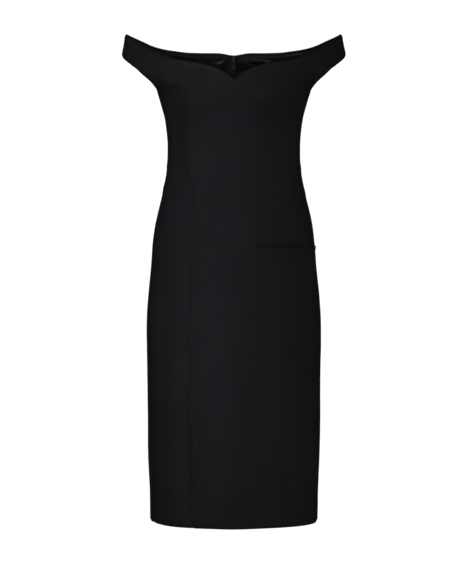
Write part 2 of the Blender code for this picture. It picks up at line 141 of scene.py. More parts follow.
def makeWeaveGroup():
    group, given, result = newGroup(
        "threadWeave",
        [("Vector", "NodeSocketVector", None), ("Slub", "NodeSocketFloat", 0.3)],
        [("Height", "NodeSocketFloat"), ("Tone", "NodeSocketFloat")],
    )
    vector = given.outputs["Vector"]
    row = weaveSettings
    warp = waveNode(group, vector, "X", row["warp"], row["sway"])
    weft = waveNode(group, vector, "Y", row["weft"], row["sway"])
    crossing = mathNode(group, "MULTIPLY", warp, weft)
    slubs = noiseNode(group, scaledVector(group, vector, row["slubs"]), 1.0, 3.0)
    fibres = noiseNode(group, vector, row["fibres"], 2.0)
    uneven = mathNode(group, "MULTIPLY", slubs, given.outputs["Slub"])
    threads = mathNode(group, "MULTIPLY", crossing, row["threadHeight"])
    height = mathNode(group, "ADD", threads, uneven)
    height = mathNode(group, "ADD", height, mathNode(group, "MULTIPLY", fibres, row["fibreHeight"]))
    patches = noiseNode(group, vector, row["patches"], 3.0)
    tone = mathNode(group, "ADD", mathNode(group, "MULTIPLY", patches, row["patchTone"]), uneven)
    crossed = mathNode(group, "MULTIPLY", crossing, row["threadTone"])
    tone = mathNode(group, "ADD", tone, crossed, clamp=True)
    group.links.new(height, result.inputs["Height"])
    group.links.new(tone, result.inputs["Tone"])
    return group


weaveGroup = makeWeaveGroup()


def newMaterial(name, roughness, metallic=0.0, specular=0.5):
    material = bpy.data.materials.new(name)
    material.use_nodes = True
    shader = material.node_tree.nodes["Principled BSDF"]
    shader.inputs["Roughness"].default_value = roughness
    shader.inputs["Metallic"].default_value = metallic
    shader.inputs["Specular IOR Level"].default_value = specular
    return material, shader


def tintBetween(tree, factor, dark, light, target):
    ramp = tree.nodes.new("ShaderNodeMix")
    ramp.data_type = "RGBA"
    ramp.inputs[6].default_value = (*dark, 1)
    ramp.inputs[7].default_value = (*light, 1)
    tree.links.new(factor, ramp.inputs[0])
    tree.links.new(ramp.outputs[2], target)


# Painted shade: the base colour is scaled by lift and loses up to fallOff of it as the surface turns away
# from the viewer, so the cloth darkens towards its edges
def paintShadeAway(tree, lift, fallOff, target):
    facing = tree.nodes.new("ShaderNodeLayerWeight")
    facing.inputs["Blend"].default_value = 0.5
    paintedShade = mathNode(tree, "MULTIPLY", facing.outputs["Facing"], lift * fallOff)
    scale = tree.nodes.new("ShaderNodeVectorMath")
    scale.operation = "SCALE"
    tree.links.new(mathNode(tree, "SUBTRACT", lift, paintedShade), scale.inputs["Scale"])
    tree.links.new(scale.outputs["Vector"], target)
    return scale.inputs[0]


def bumpTo(tree, height, distance, strength, shader):
    bump = tree.nodes.new("ShaderNodeBump")
    bump.inputs["Distance"].default_value = distance
    bump.inputs["Strength"].default_value = strength
    tree.links.new(height, bump.inputs["Height"])
    tree.links.new(bump.outputs["Normal"], shader.inputs["Normal"])


# In clothLook, lift brightens the cloth's tone and fallOff is the share of it taken off towards the edges as
# painted shade
clothLook = {
    "dark": (0.0094, 0.0082, 0.0100), "light": (0.0138, 0.0121, 0.0146),
    "roughness": 0.90, "specular": 0.0, "slub": 0.35, "bump": 0.00008, "lift": 1.18, "fallOff": 0.50,
}
satinLook = {
    "dark": (0.0010, 0.0011, 0.0014), "light": (0.0024, 0.0026, 0.0033),
    "roughness": 0.34, "specular": 0.085, "bump": 0.00004, "lines": (300, 2400, 1), "patches": 9.0,
}
twillLook = {
    "dark": (0.0024, 0.0024, 0.0028), "light": (0.0050, 0.0050, 0.0056),
    "roughness": 0.8, "specular": 0.08, "bump": 0.00015, "twill": 420.0, "ribs": 180.0, "ribShare": 0.5,
}
nylonLook = {
    "dark": (0.0050, 0.0050, 0.0056), "light": (0.0090, 0.0090, 0.0098),
    "roughness": 0.55, "specular": 0.06, "bump": 0.00003, "grain": 900.0,
}
lacquerLook = {
    "dark": (0.011, 0.011, 0.012), "light": (0.024, 0.024, 0.026),
    "roughness": 0.16, "specular": 0.25, "bump": 0.00002, "clouds": 260.0, "smears": 700.0, "smeared": 0.25,
}
threadLook = {
    "dark": (0.009, 0.0085, 0.0095), "light": (0.019, 0.018, 0.020),
    "roughness": 0.6, "specular": 0.1, "bump": 0.00004, "strands": (4000, 4000, 1500),
}


def makeCloth(name="blackCrepe", lift=1.0):
    material, shader = newMaterial(name, clothLook["roughness"], specular=clothLook["specular"])
    # a lift above 1 gives a lighter copy of the crepe, which is painted light
    dark, light = [tuple(part * lift for part in clothLook[tone]) for tone in ("dark", "light")]
    tree = material.node_tree
    uv = tree.nodes.new("ShaderNodeUVMap")
    uv.uv_map = "cut"
    weave = tree.nodes.new("ShaderNodeGroup")
    weave.node_tree = weaveGroup
    weave.inputs["Slub"].default_value = clothLook["slub"]
    tree.links.new(uv.outputs["UV"], weave.inputs["Vector"])
    # painted shade: darker where the cloth turns away from the viewer
    tone = paintShadeAway(tree, clothLook["lift"], clothLook["fallOff"], shader.inputs["Base Color"])
    tintBetween(tree, weave.outputs["Tone"], dark, light, tone)
    bumpTo(tree, weave.outputs["Height"], clothLook["bump"], 0.6, shader)
    return material


def makeSatin(name="blackSatin"):
    material, shader = newMaterial(name, satinLook["roughness"], specular=satinLook["specular"])
    tree = material.node_tree
    uv = tree.nodes.new("ShaderNodeUVMap")
    uv.uv_map = "cut"
    lines = noiseNode(tree, scaledVector(tree, uv.outputs["UV"], satinLook["lines"]), 1.0, 2.0)
    patches = noiseNode(tree, uv.outputs["UV"], satinLook["patches"], 2.0)
    tone = mathNode(tree, "MULTIPLY", lines, patches)
    tintBetween(tree, tone, satinLook["dark"], satinLook["light"], shader.inputs["Base Color"])
    bumpTo(tree, lines, satinLook["bump"], 0.4, shader)
    return material


def makeTapeCloth(name="zipTwill"):
    material, shader = newMaterial(name, twillLook["roughness"], specular=twillLook["specular"])
    tree = material.node_tree
    uv = tree.nodes.new("ShaderNodeUVMap")
    uv.uv_map = "cut"
    lines = waveNode(tree, uv.outputs["UV"], "DIAGONAL", twillLook["twill"])
    ribs = waveNode(tree, uv.outputs["UV"], "X", twillLook["ribs"])
    height = mathNode(tree, "ADD", lines, mathNode(tree, "MULTIPLY", ribs, twillLook["ribShare"]))
    tintBetween(tree, lines, twillLook["dark"], twillLook["light"], shader.inputs["Base Color"])
    bumpTo(tree, height, twillLook["bump"], 0.7, shader)
    return material


def makeCoil(name="zipCoilNylon"):
    material, shader = newMaterial(name, nylonLook["roughness"], specular=nylonLook["specular"])
    tree = material.node_tree
    place = tree.nodes.new("ShaderNodeTexCoord").outputs["Object"]
    grain = noiseNode(tree, place, nylonLook["grain"], 2.0)
    tintBetween(tree, grain, nylonLook["dark"], nylonLook["light"], shader.inputs["Base Color"])
    bumpTo(tree, grain, nylonLook["bump"], 0.5, shader)
    return material


def makeLacquer(name="zipLacquer"):
    material, shader = newMaterial(name, lacquerLook["roughness"], specular=lacquerLook["specular"])
    tree = material.node_tree
    place = tree.nodes.new("ShaderNodeTexCoord").outputs["Object"]
    clouds = noiseNode(tree, place, lacquerLook["clouds"], 3.0)
    tintBetween(tree, clouds, lacquerLook["dark"], lacquerLook["light"], shader.inputs["Base Color"])
    smears = noiseNode(tree, place, lacquerLook["smears"], 2.0)
    duller = mathNode(tree, "MULTIPLY", smears, lacquerLook["smeared"])
    tree.links.new(mathNode(tree, "ADD", duller, lacquerLook["roughness"]), shader.inputs["Roughness"])
    bumpTo(tree, clouds, lacquerLook["bump"], 0.3, shader)
    return material


def makeThread(name="sewingThread"):
    material, shader = newMaterial(name, threadLook["roughness"], specular=threadLook["specular"])
    tree = material.node_tree
    place = tree.nodes.new("ShaderNodeTexCoord").outputs["Object"]
    strands = noiseNode(tree, scaledVector(tree, place, threadLook["strands"]), 1.0, 1.0)
    tintBetween(tree, strands, threadLook["dark"], threadLook["light"], shader.inputs["Base Color"])
    bumpTo(tree, strands, threadLook["bump"], 0.5, shader)
    return material


crepe, satin, twill = makeCloth(), makeSatin(), makeTapeCloth()
# Painted light: the facing is the same crepe made 1.5 times lighter, standing in for the light that falls on
# it inside the back
litFacingCrepe = makeCloth("paintedLightFacingCrepe", 1.5)
nylon, lacquer, thread = makeCoil(), makeLacquer(), makeThread()
print("materials made")


# Cloth
panelNames = ["front_centre"]
for hand in ("left", "right"):
    panelNames += [f"{panel}_{hand}" for panel in ("side_front", "side_back", "back_centre", "sleeve")]

clothSettings = {
    "thickness": 0.0020,
    "rimPlay": 0.00005,  # an edge across a wall is as long as the wall is thick, within this
    "panelRow": 0.0055,  # rows that are narrower than this are left out
    "sleeveRow": 0.0034,
    "weld": 0.0006,
    "mostFit": 0.0014,
    "levels": 3,
    "edgeRound": 0.0005,
    "foldAngle": 55,
    "facingAbove": 0.08,
    "layerInset": 0.0001,  # inner layers are this much smaller than the panel over them
    "mapRadius": 0.15,  # turns round the body become lengths at this radius
}


def meshOf(name):
    bm = bmesh.new()
    bm.from_mesh(bpy.data.objects[name].data)
    bmesh.ops.remove_doubles(bm, verts=bm.verts, dist=1e-5)
    return bm


def islands(bm):
    found, seen = [], set()
    for first in bm.faces:
        if first in seen:
            continue
        seen.add(first)
        island, waiting = [], [first]
        while waiting:
            face = waiting.pop()
            island.append(face)
            for edge in face.edges:
                for other in edge.link_faces:
                    if other not in seen:
                        seen.add(other)
                        waiting.append(other)
        found.append(island)
    return found


# The outer layer of a cloth wall, as four-sided faces
def outerLayer(name, thickness):
    bm = meshOf(name)

    def onRim(face):
        return any(abs(edge.calc_length() - thickness) < clothSettings["rimPlay"] for edge in face.edges)

    bmesh.ops.delete(bm, geom=[face for face in bm.faces if onRim(face)], context="FACES")
    layers = sorted(islands(bm), key=len)[-2:]

    def outward(layer):
        return sum(f.calc_area() * f.normal.xy.dot(f.calc_center_median().xy) for f in layer)

    outer = set(max(layers, key=outward))
    bmesh.ops.delete(bm, geom=[face for face in bm.faces if face not in outer], context="FACES")
    bmesh.ops.join_triangles(
        bm, faces=bm.faces, angle_face_threshold=math.pi, angle_shape_threshold=math.pi,
        topology_influence=1.6,
    )
    return bm


# Rows that are only there for the pocket or the arm hole's corner would dent the surface
def dropNarrowRows(bm, least):
    bmesh.ops.collapse(bm, edges=[edge for edge in bm.edges if edge.calc_length() < least])


def panelsAt(vert, layer):
    return {panelNames[face[layer]] for face in vert.link_faces}


# The back's top row of faces is as high as the facing behind it
def markFacing(cage):
    panel = cage.faces.layers.int["panel"]
    mark = cage.faces.layers.int.new("facing")
    for face in cage.faces:
        rims = [edge for edge in face.edges if edge.is_boundary]
        atTop = any(edge.verts[0].co.z > clothSettings["facingAbove"] for edge in rims)
        face[mark] = int(atTop and panelNames[face[panel]].startswith("back_centre"))


# The two curves of the sweetheart neckline meet in a point
def sharpenNeckline(cage):
    sharp = cage.verts.layers.float.new("crease_vert")
    front = [vert for vert in cage.verts if vert.is_boundary and vert.co.y < 0 < vert.co.z]
    min(front, key=lambda vert: abs(vert.co.x))[sharp] = 1.0


# Nine outer layers, sewn into one surface; the face layer "panel" keeps which is which
def sewnCage():
    cage = bmesh.new()
    mark = cage.faces.layers.int.new("panel")
    for number, name in enumerate(panelNames):
        layer = outerLayer(name, clothSettings["thickness"])
        least = clothSettings["sleeveRow" if name.startswith("sleeve") else "panelRow"]
        dropNarrowRows(layer, least)
        mesh = bpy.data.meshes.new(name + "Layer")
        layer.to_mesh(mesh)
        layer.free()
        before = len(cage.faces)
        cage.from_mesh(mesh)
        cage.faces.ensure_lookup_table()
        for face in cage.faces[before:]:
            face[mark] = number
            face.smooth = True
        bpy.data.meshes.remove(mesh)
    loose = [vert for vert in cage.verts if not vert.link_faces]
    bmesh.ops.delete(cage, geom=loose, context="VERTS")
    border = [vert for vert in cage.verts if vert.is_boundary]
    bmesh.ops.remove_doubles(cage, verts=border, dist=clothSettings["weld"])
    markFacing(cage)
    sharpenNeckline(cage)
    return cage


# A smooth surface that still passes through the cage's corners
def smoothed(cage, levels):
    mesh = bpy.data.meshes.new("cage")
    cage.to_mesh(mesh)
    cage.free()
    holder = bpy.data.objects.new("cage", mesh)
    bpy.context.scene.collection.objects.link(holder)
    goals = [vert.co.copy() for vert in mesh.vertices]
    modifier = holder.modifiers.new("smooth", "SUBSURF")
    modifier.levels = modifier.render_levels = 1
    for _ in range(3):
        shown = holder.evaluated_get(bpy.context.evaluated_depsgraph_get()).data
        aims = [
            vert.co + goal - shown.vertices[i].co
            for i, (vert, goal) in enumerate(zip(mesh.vertices, goals))
        ]
        for vert, aim, goal in zip(mesh.vertices, aims, goals):
            offset = aim - goal
            offset.length = min(offset.length, clothSettings["mostFit"])
            vert.co = goal + offset
        mesh.update()
    modifier.levels = modifier.render_levels = levels
    result = bmesh.new()
    result.from_mesh(holder.evaluated_get(bpy.context.evaluated_depsgraph_get()).data)
    bpy.data.objects.remove(holder)
    bpy.data.meshes.remove(mesh)
    return result


# Creases, listed one by one: soft ridges (+) and troughs (-), in metres. across is x on the
# front and back, and y on the sides; bow bends the crease between its ends.
Crease = namedtuple("Crease", "side across height endAcross endHeight width depth bow")
creases = (
    Crease("front", -0.086, 0.050, -0.090, -0.200, 0.013, 0.0036, 0.002),
    Crease("front", -0.125, 0.055, -0.118, -0.190, 0.012, -0.0072, 0.002),
    Crease("front", -0.146, -0.128, -0.098, -0.122, 0.009, 0.0010, 0.004),
    Crease("front", -0.006, 0.040, 0.000, -0.320, 0.022, 0.0056, -0.003),
    Crease("front", 0.084, 0.030, 0.088, -0.310, 0.026, -0.0052, 0.004),
    Crease("front", -0.010, -0.050, -0.008, -0.300, 0.012, 0.0012, 0.000),
    Crease("front", 0.022, -0.250, 0.022, -0.400, 0.008, -0.0014, 0.001),
    Crease("front", 0.034, -0.410, 0.036, -0.520, 0.009, -0.0012, -0.002),
    Crease("front", 0.074, -0.300, 0.076, -0.990, 0.036, -0.0100, -0.004),
    Crease("front", 0.004, -0.260, -0.006, -1.040, 0.027, 0.0084, 0.004),
    Crease("front", -0.082, -0.580, -0.078, -0.880, 0.015, -0.0050, 0.002),
    Crease("front", -0.170, -0.400, -0.166, -1.040, 0.026, -0.0090, 0.000),
    Crease("front", -0.114, -0.160, -0.112, -0.940, 0.014, 0.0026, 0.002),
    Crease("front", -0.150, -0.200, -0.146, -0.800, 0.012, -0.0018, 0.002),
    Crease("front", -0.168, -0.818, -0.142, -0.868, 0.009, 0.0018, 0.003),
    Crease("front", -0.158, -0.800, -0.128, -0.860, 0.009, -0.0012, 0.003),
    Crease("front", 0.120, -0.150, 0.086, -0.166, 0.009, 0.0008, -0.003),
    Crease("back", -0.120, -0.150, -0.050, -0.132, 0.010, 0.0014, 0.006),
    Crease("back", 0.118, -0.142, 0.046, -0.150, 0.010, 0.0013, -0.005),
    Crease("back", -0.060, -0.118, -0.020, -0.128, 0.007, -0.0009, 0.002),
    Crease("back", 0.090, -0.420, 0.040, -0.455, 0.014, 0.0015, 0.006),
    Crease("back", -0.094, -0.430, -0.050, -0.462, 0.014, 0.0013, -0.006),
    Crease("back", 0.050, -0.520, 0.062, -0.800, 0.022, 0.0012, -0.006),
    Crease("back", -0.070, -0.560, -0.052, -0.820, 0.020, 0.0011, 0.006),
    Crease("left", -0.030, -0.150, 0.034, -0.138, 0.008, 0.0010, 0.003),
    Crease("left", 0.028, -0.190, -0.018, -0.205, 0.009, 0.0009, -0.003),
    Crease("right", -0.034, -0.140, 0.030, -0.152, 0.008, 0.0010, -0.003),
    Crease("right", 0.026, -0.186, -0.022, -0.200, 0.009, 0.0009, 0.003),
)


def onSide(side, point):
    if side in ("front", "back"):
        return point.x, (point.y < 0) == (side == "front")
    return point.y, (point.x > 0) == (side == "left")


def creaseHeight(point, crease):
    across, here = onSide(crease.side, point)
    if not here:
        return 0.0
    run, rise = crease.endAcross - crease.across, crease.endHeight - crease.height
    length = math.hypot(run, rise)
    along = ((across - crease.across) * run + (point.z - crease.height) * rise) / length ** 2
    if not 0 < along < 1:
        return 0.0
    taper = math.sin(math.pi * along)
    off = ((across - crease.across) * rise - (point.z - crease.height) * run) / length
    off -= crease.bow * taper
    return crease.depth * taper * math.exp(-(off / crease.width) ** 2)


unevenness = {
    "size": 0.085, "depth": 0.0009, "shift": (3.1, 7.7, 1.3), "fineSize": 0.030, "fineDepth": 0.00025,
}

# How far each kind of seam draws the cloth in, above the hips and on the skirt, and over
# what width. The centre-back seam is shallow at the hem, where a deeper one would gape.
Seam = namedtuple("Seam", "first second upper lower width")
seams = (
    Seam("front_centre", "side_front_right", 0.00120, 0.00240, 0.0044),
    Seam("front_centre", "side_front_left", 0.00025, 0.00160, 0.0034),
    Seam("side_front", "side_back", 0.00040, 0.00050, 0.0024),
    Seam("side_back", "back_centre", 0.00050, 0.00110, 0.0030),
    Seam("back_centre_left", "back_centre_right", 0.00060, 0.00020, 0.0030),
    Seam("sleeve", "", 0.00010, 0.00010, 0.0020),
)
seamSettings = {"skirtFrom": -0.42, "skirtOver": 0.14, "reach": 0.018}

# A pressed-open allowance shows through beside the right front seam, below the waist
allowance = {"seam": "side_front_right", "away": 0.0082, "width": 0.0034, "height": 0.00080, "highest": -0.15}

# Free edges are turned in, with a shallow dip where the turning ends
turnedEdge = {"width": 0.0085, "depth": 0.0036, "dipAway": 0.0115, "dipWidth": 0.0035, "dip": 0.00030}


def treeOf(verts):
    tree = KDTree(len(verts))
    for i, vert in enumerate(verts):
        tree.insert(vert.co, i)
    tree.balance()
    return tree


def seamTrees(surface):
    panel = surface.faces.layers.int["panel"]
    sewn = []
    for vert in surface.verts:
        names = panelsAt(vert, panel)
        if len(names) > 1:
            sewn.append((vert, names))
    trees = []
    for seam in seams:
        line = []
        for vert, names in sewn:
            first = {name for name in names if name.startswith(seam.first)}
            if first and any(name.startswith(seam.second) for name in names - first or names):
                line.append(vert)
        trees.append((seam, treeOf(line)))
    return trees


def seamHeight(place, trees):
    height = 0.0
    lower = min(1.0, max(0.0, (seamSettings["skirtFrom"] - place.z) / seamSettings["skirtOver"]))
    for seam, tree in trees:
        near, _, distance = tree.find(place)
        if distance > seamSettings["reach"]:
            continue
        depth = seam.upper + (seam.lower - seam.upper) * lower
        height -= depth * math.exp(-(distance / seam.width) ** 2)
        inward = abs(place.x) < abs(near.x)
        if seam.second == allowance["seam"] and inward and place.z < allowance["highest"]:
            aside = (distance - allowance["away"]) / allowance["width"]
            height += allowance["height"] * math.exp(-aside ** 2)
    return height


def edgeHeight(distance):
    height = -turnedEdge["depth"] * max(0.0, 1 - distance / turnedEdge["width"]) ** 2
    aside = (distance - turnedEdge["dipAway"]) / turnedEdge["dipWidth"]
    return height - turnedEdge["dip"] * math.exp(-aside ** 2)


def shapeSurface(surface):
    trees = seamTrees(surface)
    edges = treeOf([vert for vert in surface.verts if vert.is_boundary])
    surface.normal_update()
    shift = Vector(unevenness["shift"])
    moves = []
    for vert in surface.verts:
        place = vert.co
        move = seamHeight(place, trees) + edgeHeight(edges.find(place)[2])
        move += unevenness["depth"] * noise.noise(place / unevenness["size"] + shift)
        move += unevenness["fineDepth"] * noise.noise(place / unevenness["fineSize"])
        move += sum(creaseHeight(place, crease) for crease in creases)
        moves.append(vert.normal * move)
    for vert, move in zip(surface.verts, moves):
        vert.co += move


surface = smoothed(sewnCage(), clothSettings["levels"])
shapeSurface(surface)
surface.normal_update()
shell = BVHTree.FromBMesh(surface)
print("cloth surface", len(surface.verts), "corners")


# The cloth's own coordinates in metres: round the body and up
def addCutMap(bm, side=0):
    layer = bm.loops.layers.uv.new("cut")
    for face in bm.faces:
        for loop in face.loops:
            place = loop.vert.co
            turn = math.atan2(place.x, -place.y)
            if side:
                turn = side * abs(turn)
            loop[layer].uv = (turn * clothSettings["mapRadius"], place.z)


def newPiece(name, bm, material, replaced=(), body="dress"):
    mesh = bpy.data.meshes.new(name)
    bm.to_mesh(mesh)
    bm.free()
    mesh.shade_smooth()
    mesh.materials.append(material)
    piece = bpy.data.objects.new(name, mesh)
    bpy.context.scene.collection.objects.link(piece)
    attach(piece, body)
    if replaced:
        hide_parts(*replaced)
    return piece


def thicken(piece, thickness, rounding=None):
    wall = piece.modifiers.new("wall", "SOLIDIFY")
    wall.thickness = thickness
    wall.offset = -1
    if rounding:
        edges = piece.modifiers.new("foldedEdges", "BEVEL")
        edges.width = rounding
        edges.segments = 2
        edges.limit_method = "ANGLE"
        edges.angle_limit = math.radians(clothSettings["foldAngle"])


def makePanel(number, name):
    bm = surface.copy()
    panel = bm.faces.layers.int["panel"]
    bmesh.ops.delete(bm, geom=[face for face in bm.faces if face[panel] != number], context="FACES")
    side = 1 if name.endswith("left") else -1 if name.endswith("right") else 0
    addCutMap(bm, side)
    piece = newPiece(name + "Cloth", bm, crepe, (name,))
    thicken(piece, clothSettings["thickness"], clothSettings["edgeRound"])
    return piece


panelPieces = {name: makePanel(number, name) for number, name in enumerate(panelNames)}
print("panels made")


# Points on the cloth, found from the torso's axis or from straight behind
def onCloth(turn, height):
    out = Vector((math.sin(turn), -math.cos(turn), 0))
    place, normal = shell.ray_cast(Vector((0, 0, height)) + out * 0.5, -out)[:2]
    return place, normal


def onBack(across, height):
    place, normal = shell.ray_cast(Vector((across, 0.5, height)), Vector((0, -1, 0)))[:2]
    return place, normal


def drawIn(bm, distance):
    moves = []
    for vert in bm.verts:
        if vert.is_boundary:
            inner = [edge.other_vert(vert).co for edge in vert.link_edges if not edge.is_boundary]
            if inner:
                away = sum(inner, Vector()) / len(inner) - vert.co
                moves.append((vert, away.normalized() * distance))
    for vert, move in moves:
        vert.co += move


# A layer of cloth that lies inside the back, cut from the same surface by planes
def innerLayer(panelName, facing, cuts, depth, shape=None):
    bm = surface.copy()
    panel, mark = bm.faces.layers.int["panel"], bm.faces.layers.int["facing"]
    own = panelNames.index(panelName)
    others = [face for face in bm.faces if face[panel] != own or face[mark] not in facing]
    bmesh.ops.delete(bm, geom=others, context="FACES")
    for place, away in cuts:
        geom = bm.verts[:] + bm.edges[:] + bm.faces[:]
        bmesh.ops.bisect_plane(bm, geom=geom, plane_co=place, plane_no=away, clear_outer=True, dist=1e-5)
    bm.normal_update()
    edges = treeOf([vert for vert in bm.verts if vert.is_boundary])
    moves = []
    for vert in bm.verts:
        further = shape(vert.co, edges.find(vert.co)[2]) if shape else 0.0
        moves.append(vert.normal * -(depth + further))
    for vert, move in zip(bm.verts, moves):
        vert.co += move
    drawIn(bm, clothSettings["layerInset"])
    return bm


liningSettings = {
    "depth": 0.0025, "thickness": 0.0010, "besideZip": 0.0123, "foot": -0.115, "rounding": 0.0003,
    "facingRoll": 0.0002, "rollWidth": 0.0018, "looseness": 1.8, "settleWidth": 0.006,
    "fullness": 0.0004, "ripple": 0.0005, "ripplesAcross": 90, "ripplesUp": 150, "rippleShift": 4.0,
}
# The satin is loose: wrinkles that run out from the zip, as heights towards the inside
liningCreases = (
    Crease("back", 0.014, 0.076, 0.042, 0.060, 0.0030, 0.0011, 0.002),
    Crease("back", 0.015, 0.066, 0.036, 0.044, 0.0032, 0.0013, -0.002),
    Crease("back", 0.030, 0.074, 0.066, 0.064, 0.0036, 0.0009, -0.003),
    Crease("back", 0.048, 0.078, 0.088, 0.070, 0.0030, 0.0008, 0.002),
    Crease("back", 0.013, 0.050, 0.030, 0.020, 0.0040, 0.0014, 0.002),
    Crease("back", -0.014, 0.077, -0.038, 0.066, 0.0030, 0.0010, -0.002),
    Crease("back", -0.015, 0.070, -0.034, 0.050, 0.0032, 0.0013, 0.002),
    Crease("back", -0.024, 0.060, -0.058, 0.070, 0.0036, 0.0009, 0.003),
    Crease("back", -0.050, 0.077, -0.090, 0.068, 0.0030, 0.0008, -0.002),
    Crease("back", -0.013, 0.052, -0.028, 0.018, 0.0040, 0.0014, -0.002),
    Crease("back", 0.040, 0.010, 0.070, -0.060, 0.0070, 0.0016, 0.004),
    Crease("back", -0.044, 0.006, -0.066, -0.070, 0.0070, 0.0016, -0.004),
)


def liningShape(place, distance):
    row = liningSettings
    settled = min(1.0, distance / row["settleWidth"])
    spot = Vector((place.x * row["ripplesAcross"], row["rippleShift"], place.z * row["ripplesUp"]))
    loose = row["fullness"] + row["ripple"] * noise.noise(spot)
    loose += row["looseness"] * sum(creaseHeight(place, crease) for crease in liningCreases)
    return settled * max(0.0, loose)


def facingShape(place, distance):
    return liningSettings["facingRoll"] * max(0.0, 1 - distance / liningSettings["rollWidth"]) ** 2


def makeBackLayers():
    for side, hand in ((1, "left"), (-1, "right")):
        besideZip = ((side * liningSettings["besideZip"], 0, 0), (-side, 0, 0))
        foot = ((0, 0, liningSettings["foot"]), (0, 0, -1))
        layers = (
            # the facing takes the lighter copy of the crepe, painted light
            ("facing", litFacingCrepe, "cloth", (1,), (besideZip,), facingShape),
            ("lining", satin, "lining", (0,), (besideZip, foot), liningShape),
        )
        for kind, material, slot, wanted, cuts, shape in layers:
            node = f"{kind}_back_{hand}"
            bm = innerLayer(f"back_centre_{hand}", wanted, cuts, liningSettings["depth"], shape)
            addCutMap(bm, side)
            piece = newPiece(f"{kind}Back{hand.capitalize()}", bm, material, (node,))
            thicken(piece, liningSettings["thickness"], liningSettings["rounding"])


makeBackLayers()
print("facing and lining made")


# One small shape, and copies of it placed by matrices, in one mesh
def pebble(segments, rings):
    bm = bmesh.new()
    bmesh.ops.create_uvsphere(bm, u_segments=segments, v_segments=rings, radius=1)
    mesh = bpy.data.meshes.new("pebble")
    bm.to_mesh(mesh)
    bm.free()
    return mesh


def scattered(shape, places):
    bm = bmesh.new()
    for place in places:
        shape.transform(place)
        bm.from_mesh(shape)
        shape.transform(place.inverted())
    return bm


def spread(first, last, pitch):
    count = max(2, int(abs(last - first) / pitch))
    return [first + (last - first) * i / count for i in range(count + 1)]


# Zip: tapes, two rows of coil teeth, slider, arch and pull
zipSettings = {
    "tapeWidth": 0.0120, "tapeThickness": 0.0010, "tapeDepth": 0.0025, "tapeTop": 0.0820, "foot": -0.4200,
    "coilTop": 0.0706, "coilDepth": 0.00475, "coilHalf": 0.0022, "pitch": 0.00158,
    "coreDepth": 0.00390, "coreHalf": 0.0019, "coreThickness": 0.0005,
    "toothLength": 0.0026, "toothHeight": 0.00074, "toothThickness": 0.00135,
    "tapeRounding": 0.0002, "corePitch": 0.0060, "besideSeam": 0.0040, "slopeStep": 0.0040,
    "stitchAway": 0.0031, "edgeStitchAway": 0.0098, "stitchPitch": 0.0032, "stitchEnd": 0.0030,
    "stitchOut": 0.0001,
}


def makeTapes():
    for side, hand in ((1, "left"), (-1, "right")):
        cuts = (
            ((side * zipSettings["tapeWidth"], 0, 0), (side, 0, 0)),
            ((0, 0, zipSettings["tapeTop"]), (0, 0, 1)),
            ((0, 0, zipSettings["foot"]), (0, 0, -1)),
        )
        node = f"zip_tape_{hand}"
        bm = innerLayer(f"back_centre_{hand}", (0, 1), cuts, zipSettings["tapeDepth"])
        addCutMap(bm, side)
        piece = newPiece(f"zipTape{hand.capitalize()}", bm, twill, (node,))
        thicken(piece, zipSettings["tapeThickness"], zipSettings["tapeRounding"])


# The middle of the coil: a place on it, the way out of the cloth and the way up
def coilPlace(height, depth):
    beside, step = zipSettings["besideSeam"], zipSettings["slopeStep"]
    low, high = onBack(beside, height - step), onBack(beside, height + step)
    place, normal = onBack(beside, height)
    middle = Vector((0, place.y, height)) - Vector((0, normal.y, normal.z)).normalized() * depth
    return middle, Vector((0, high[0].y - low[0].y, 2 * step)).normalized()


def makeCoilTeeth():
    half = Vector((zipSettings["toothLength"], zipSettings["toothThickness"], zipSettings["toothHeight"])) / 2
    reach = zipSettings["coilHalf"] - half.x
    count = int((zipSettings["coilTop"] - zipSettings["foot"]) / zipSettings["pitch"] * 2)
    places = []
    for i in range(count):
        side = 1 if i % 2 else -1
        height = zipSettings["foot"] + (i + 1) * zipSettings["pitch"] / 2
        middle, up = coilPlace(height, zipSettings["coilDepth"])
        turned = up.to_track_quat("Z", "X").to_matrix().to_4x4()
        across = Vector((side * reach, 0, 0))
        places.append(Matrix.Translation(middle + across) @ turned @ Matrix.Diagonal((*half, 1)))
    teeth = scattered(pebble(segments=8, rings=5), places)
    newPiece("zipCoilTeeth", teeth, nylon, ("zip_coil",))


# The flat cord that the teeth are sewn round, which closes the gap between the tapes
def makeCoilCore():
    heights = spread(zipSettings["foot"], zipSettings["coilTop"], zipSettings["corePitch"])
    bm = bmesh.new()
    bmesh.ops.create_grid(bm, x_segments=1, y_segments=len(heights) - 1, size=0.5)
    for vert in bm.verts:
        row = round((vert.co.y + 0.5) * (len(heights) - 1))
        middle, _ = coilPlace(heights[row], zipSettings["coreDepth"])
        vert.co = middle + Vector((vert.co.x * 2 * zipSettings["coreHalf"], 0, 0))
    piece = newPiece("zipCoilCore", bm, nylon)
    thicken(piece, zipSettings["coreThickness"])


makeTapes()
makeCoilTeeth()
makeCoilCore()
print("zip tapes and teeth made")


# Lines of sewing: small rounded stitches laid end to end along a list of places
def stitchPlaces(path, share=0.74, width=0.00045):
    places = []
    for start, end in zip(path, path[1:]):
        along = end - start
        turned = along.to_track_quat("X", "Z").to_matrix().to_4x4()
        size = Matrix.Diagonal((along.length * share / 2, width / 2, width / 2, 1))
        places.append(Matrix.Translation((start + end) / 2) @ turned @ size)
    return places


def makeStitches():
    places = []
    tapeFace = zipSettings["tapeDepth"] + zipSettings["tapeThickness"] + zipSettings["stitchOut"]
    first = zipSettings["foot"] + zipSettings["stitchEnd"]
    last = zipSettings["tapeTop"] - zipSettings["stitchEnd"]
    heights = spread(first, last, zipSettings["stitchPitch"])
    for side in (1, -1):
        for away in (zipSettings["stitchAway"], zipSettings["edgeStitchAway"]):
            spots = [onBack(side * away, height) for height in heights]
            places += stitchPlaces([place - normal * tapeFace for place, normal in spots])
    newPiece("zipStitches", scattered(pebble(segments=6, rings=5), places), thread)


makeStitches()
print("stitches made")

